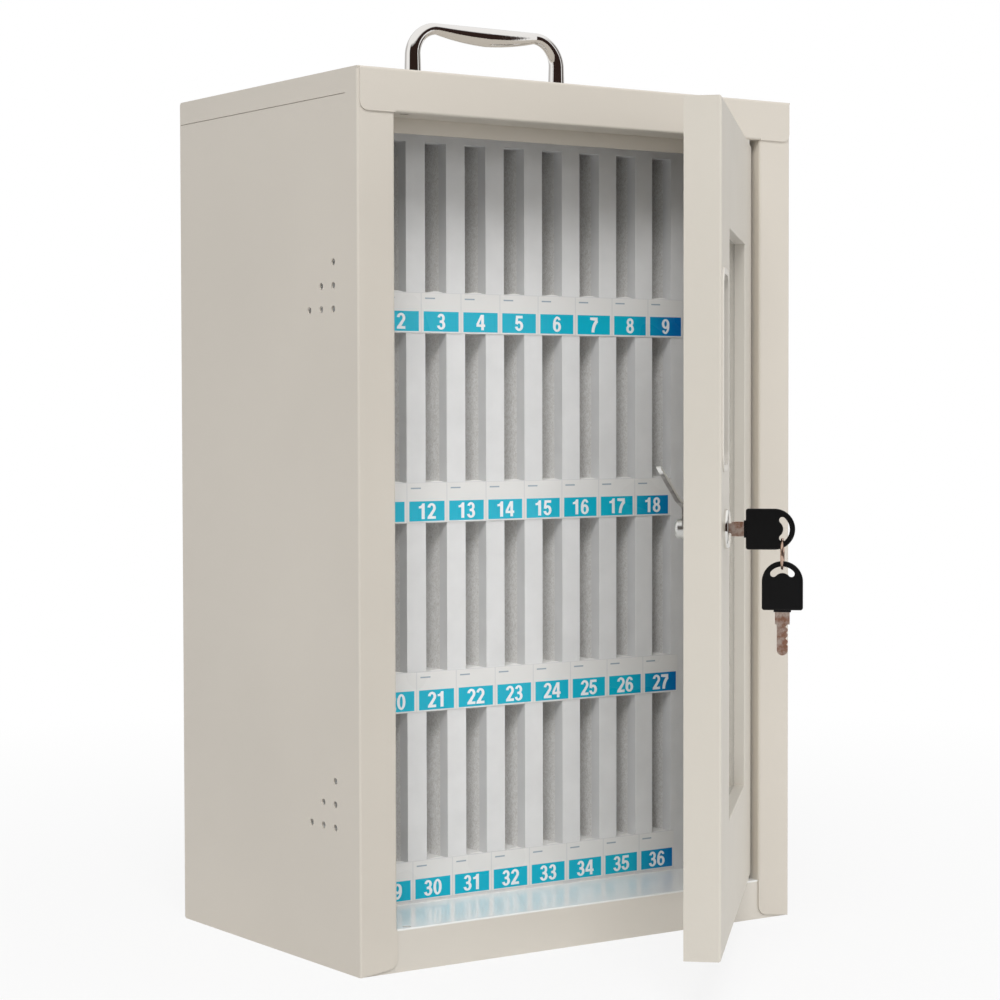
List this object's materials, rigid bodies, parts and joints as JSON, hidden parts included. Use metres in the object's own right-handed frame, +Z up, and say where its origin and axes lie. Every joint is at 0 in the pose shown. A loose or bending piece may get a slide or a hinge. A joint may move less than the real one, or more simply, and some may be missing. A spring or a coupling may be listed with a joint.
{
  "type": "phone storage locker box",
  "caption": "Portable steel locker box with a hinged windowed door, cam lock and keys, fold-down carry handle, and an upright rack of numbered, felt-lined phone slots.",
  "frame": {"origin": "middle of the base, on the surface that the box stands on", "axes": "+X to the right seen from the front, -Y towards the front, +Z up"},
  "size_m": [0.31, 0.3978, 0.5453],
  "materials": {
    "case_paint": "fine satin powder coat, warm light grey",
    "floor_paint": "smooth semi-gloss powder coat",
    "door_paint": "fine satin powder coat, warm light grey",
    "rack_board": "smooth white foam board",
    "rack_felt": "speckled light grey felt",
    "label_card": "printed film, white with blue number boxes",
    "clear_pane": "clear acrylic sheet",
    "gasket_rubber": "soft black strip",
    "bumper_rubber": "translucent grey rubber",
    "bright_chrome": "polished chrome plate",
    "zinc_plate": "bright zinc plate",
    "pull_paint": "smooth moulded shell in the door's colour",
    "nylon_white": "natural nylon",
    "key_brass": "nickel-plated brass, warm and slightly worn",
    "key_plastic": "black moulded plastic"
  },
  "bodies": {
    "cabinet": {"top_panel": "case_paint", "left_panel": "case_paint", "right_panel": "case_paint", "floor_panel": "floor_paint", "base_cover": "case_paint", "back_panel": "case_paint", "hinge_bushes": "nylon_white", "stop_bumpers": "bumper_rubber", "slats_upper": "rack_board", "slats_lower": "rack_board", "partitions": "rack_board", "felt_left_faces": "rack_felt", "felt_right_faces": "rack_felt", "end_packers": "rack_felt", "slot_floors_row_1": "rack_board", "slot_floors_row_2": "rack_board", "slot_floors_row_3": "rack_board", "slot_floors_row_4": "rack_board", "label_strip_row_1": "label_card", "label_strip_row_2": "label_card", "label_strip_row_3": "label_card", "label_strip_row_4": "label_card", "top_rail": "rack_board", "left_filler": "rack_board", "right_filler": "rack_board", "left_board": "rack_board", "right_board": "rack_board", "rack_back_board": "rack_board", "rack_screws": "zinc_plate", "handle_ears": "bright_chrome", "ear_rivets": "zinc_plate"},
    "door": {"door_skin": "door_paint", "door_liner": "door_paint", "door_studs": "zinc_plate", "door_screws": "zinc_plate", "window_pane": "clear_pane", "window_gasket": "gasket_rubber", "finger_pull": "pull_paint", "hinge_pins": "zinc_plate", "pivot_blocks": "zinc_plate", "lock_barrel": "bright_chrome", "lock_nut": "zinc_plate"},
    "lock_core": {"lock_plug": "bright_chrome", "lock_cam": "zinc_plate", "cam_screw": "zinc_plate"},
    "key": {"key_bow": "key_plastic", "key_blade": "key_brass"},
    "ring": {"key_ring": "bright_chrome"},
    "spare_key": {"spare_key_bow": "key_plastic", "spare_key_blade": "key_brass"},
    "handle": {"carry_handle": "bright_chrome"}
  },
  "joints": [
    {"name": "door_hinge", "type": "hinge", "parent": "cabinet", "child": "door", "pos_m": [0.1212, -0.0973, 0.25], "axis": [0, 0, 1], "range_deg": [-46.4, 65]},
    {"name": "lock_turn", "type": "hinge", "parent": "door", "child": "lock_core", "pos_m": [-0.02928, -0.26359, 0.25], "axis": [0.7242, -0.6896, 0], "range_deg": [0, 90]},
    {"name": "key_slide", "type": "slide", "parent": "lock_core", "child": "key", "axis": [0.7242, -0.6896, 0], "range_m": [0, 0.02]},
    {"name": "ring_swing", "type": "hinge", "parent": "key", "child": "ring", "pos_m": [-0.00756, -0.28428, 0.2447], "axis": [0.6896, 0.7242, 0], "range_deg": [-60, 15]},
    {"name": "spare_key_swing", "type": "hinge", "parent": "ring", "child": "spare_key", "pos_m": [-0.00756, -0.28428, 0.2295], "axis": [0.6896, 0.7242, 0], "range_deg": [-45, 10]},
    {"name": "handle_fold", "type": "hinge", "parent": "cabinet", "child": "handle", "pos_m": [0, 0, 0.508], "axis": [1, 0, 0], "range_deg": [-90, 90]}
  ]
}
